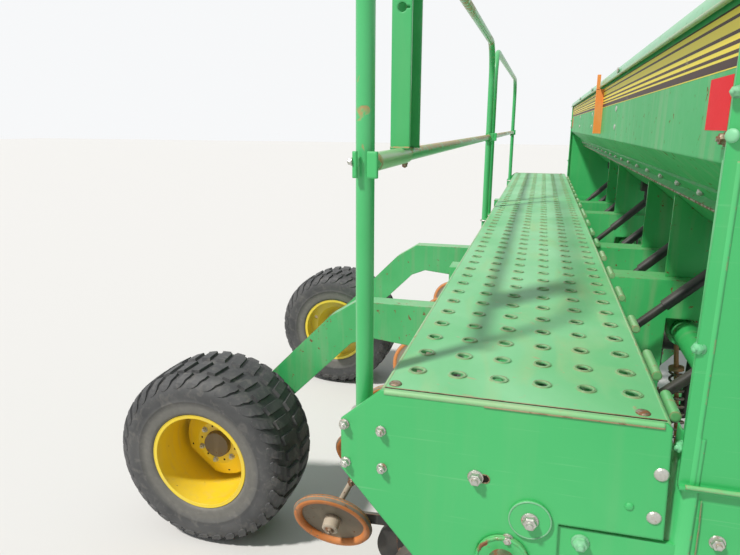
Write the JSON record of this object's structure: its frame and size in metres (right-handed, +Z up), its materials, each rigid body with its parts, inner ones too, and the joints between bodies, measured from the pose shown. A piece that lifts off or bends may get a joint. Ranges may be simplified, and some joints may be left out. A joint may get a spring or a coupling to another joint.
{
  "type": "seed drill",
  "caption": "Towed no-till seed drill with a full-width seed box, perforated loading deck with handrails, two ranks of disc openers and two transport wheels.",
  "frame": {"origin": "on the ground, under the middle of the machine's bounding box", "axes": "+X forward to the hitch, +Y to the machine's left, +Z up"},
  "size_m": [5.2219, 4.6363, 2.174],
  "materials": {
    "green_paint": "weathered satin",
    "yellow_paint": "satin",
    "black_paint": "satin",
    "rusty_iron": "rusty",
    "bare_steel": "worn",
    "disc_steel": "worn",
    "seed_tube_plastic": "matte",
    "meter_plastic": "matte",
    "transport_tyre": "dusty",
    "gauge_tyre": "worn",
    "spring_steel": "satin"
  },
  "bodies": {
    "root": {"front_bar": "green_paint", "rear_bar": "green_paint", "frame_ribs": "green_paint", "side_plates": "green_paint", "rockshafts": "green_paint", "deck": "green_paint", "deck_ends": "green_paint", "handrail_right": "green_paint", "handrail_left": "green_paint", "rail_channel": "green_paint", "ladder": "green_paint", "seed_box": "green_paint", "box_end_sheets": "green_paint", "box_saddles": "green_paint", "seed_meters": "meter_plastic", "meter_shaft": "bare_steel", "seed_tubes": "seed_tube_plastic", "opener_brackets": "green_paint", "opener_arms": "green_paint", "opener_discs": "disc_steel", "seed_boots": "green_paint", "gauge_rims": "yellow_paint", "gauge_tyres": "gauge_tyre", "tail_arms": "black_paint", "press_wheels": "gauge_tyre", "closing_wheels": "rusty_iron", "spring_rods": "rusty_iron", "down_springs": "spring_steel", "tongue": "green_paint", "hitch_clevis": "bare_steel", "jack_tube": "black_paint"},
    "lift_frame": {"lift_frame": "green_paint", "wheel_spindles": "bare_steel"},
    "wheel_left": {"hub_left": "rusty_iron", "rim_left": "yellow_paint", "tyre_left": "transport_tyre"},
    "wheel_right": {"hub_right": "rusty_iron", "rim_right": "yellow_paint", "tyre_right": "transport_tyre"},
    "ram_barrel_left": {"ram_barrel_left": "black_paint"},
    "ram_barrel_right": {"ram_barrel_right": "black_paint"},
    "ram_rod_left": {"ram_rod_left": "bare_steel"},
    "ram_rod_right": {"ram_rod_right": "bare_steel"},
    "jack_leg": {"jack_leg": "bare_steel"},
    "lid_left": {"lid_left": "green_paint"},
    "lid_right": {"lid_right": "green_paint"}
  },
  "joints": [
    {"name": "lift", "type": "hinge", "parent": "root", "child": "lift_frame", "pos_m": [-1.026, 0, 0.9], "axis": [0, 1, 0], "range_deg": [0, 14]},
    {"name": "wheel_left_turn", "type": "hinge", "parent": "lift_frame", "child": "wheel_left", "pos_m": [-2.209, 0.9, 0.402], "axis": [0, 1, 0], "continuous": true},
    {"name": "wheel_right_turn", "type": "hinge", "parent": "lift_frame", "child": "wheel_right", "pos_m": [-2.209, -0.9, 0.402], "axis": [0, 1, 0], "continuous": true},
    {"name": "jack_slide", "type": "slide", "parent": "root", "child": "jack_leg", "axis": [0, 0, 1], "range_m": [0, 0.3]},
    {"name": "lid_left_open", "type": "hinge", "parent": "root", "child": "lid_left", "pos_m": [0.039, 1.2, 1.94], "axis": [0, 1, 0], "range_deg": [0, 100]},
    {"name": "lid_right_open", "type": "hinge", "parent": "root", "child": "lid_right", "pos_m": [0.039, -1.2, 1.94], "axis": [0, 1, 0], "range_deg": [0, 100]},
    {"name": "ram_left_swing", "type": "hinge", "parent": "root", "child": "ram_barrel_left", "pos_m": [-0.096, 0.762, 1.04], "axis": [0, 1, 0], "range_deg": [-0.521, 0]},
    {"name": "ram_left_slide", "type": "slide", "parent": "ram_barrel_left", "child": "ram_rod_left", "axis": [-0.9999, 0, 0.0109], "range_m": [-0.0361, 0]},
    {"name": "ram_right_swing", "type": "hinge", "parent": "root", "child": "ram_barrel_right", "pos_m": [-0.096, -0.762, 1.04], "axis": [0, 1, 0], "range_deg": [-0.521, 0]},
    {"name": "ram_right_slide", "type": "slide", "parent": "ram_barrel_right", "child": "ram_rod_right", "axis": [-0.9999, 0, 0.0109], "range_m": [-0.0361, 0]}
  ],
  "couplings": [
    {"joint": "ram_left_swing", "follows": "lift", "ratio": -0.035809},
    {"joint": "ram_left_slide", "follows": "lift", "m_per_rad": -0.1469},
    {"joint": "ram_right_swing", "follows": "lift", "ratio": -0.035809},
    {"joint": "ram_right_slide", "follows": "lift", "m_per_rad": -0.1469}
  ]
}
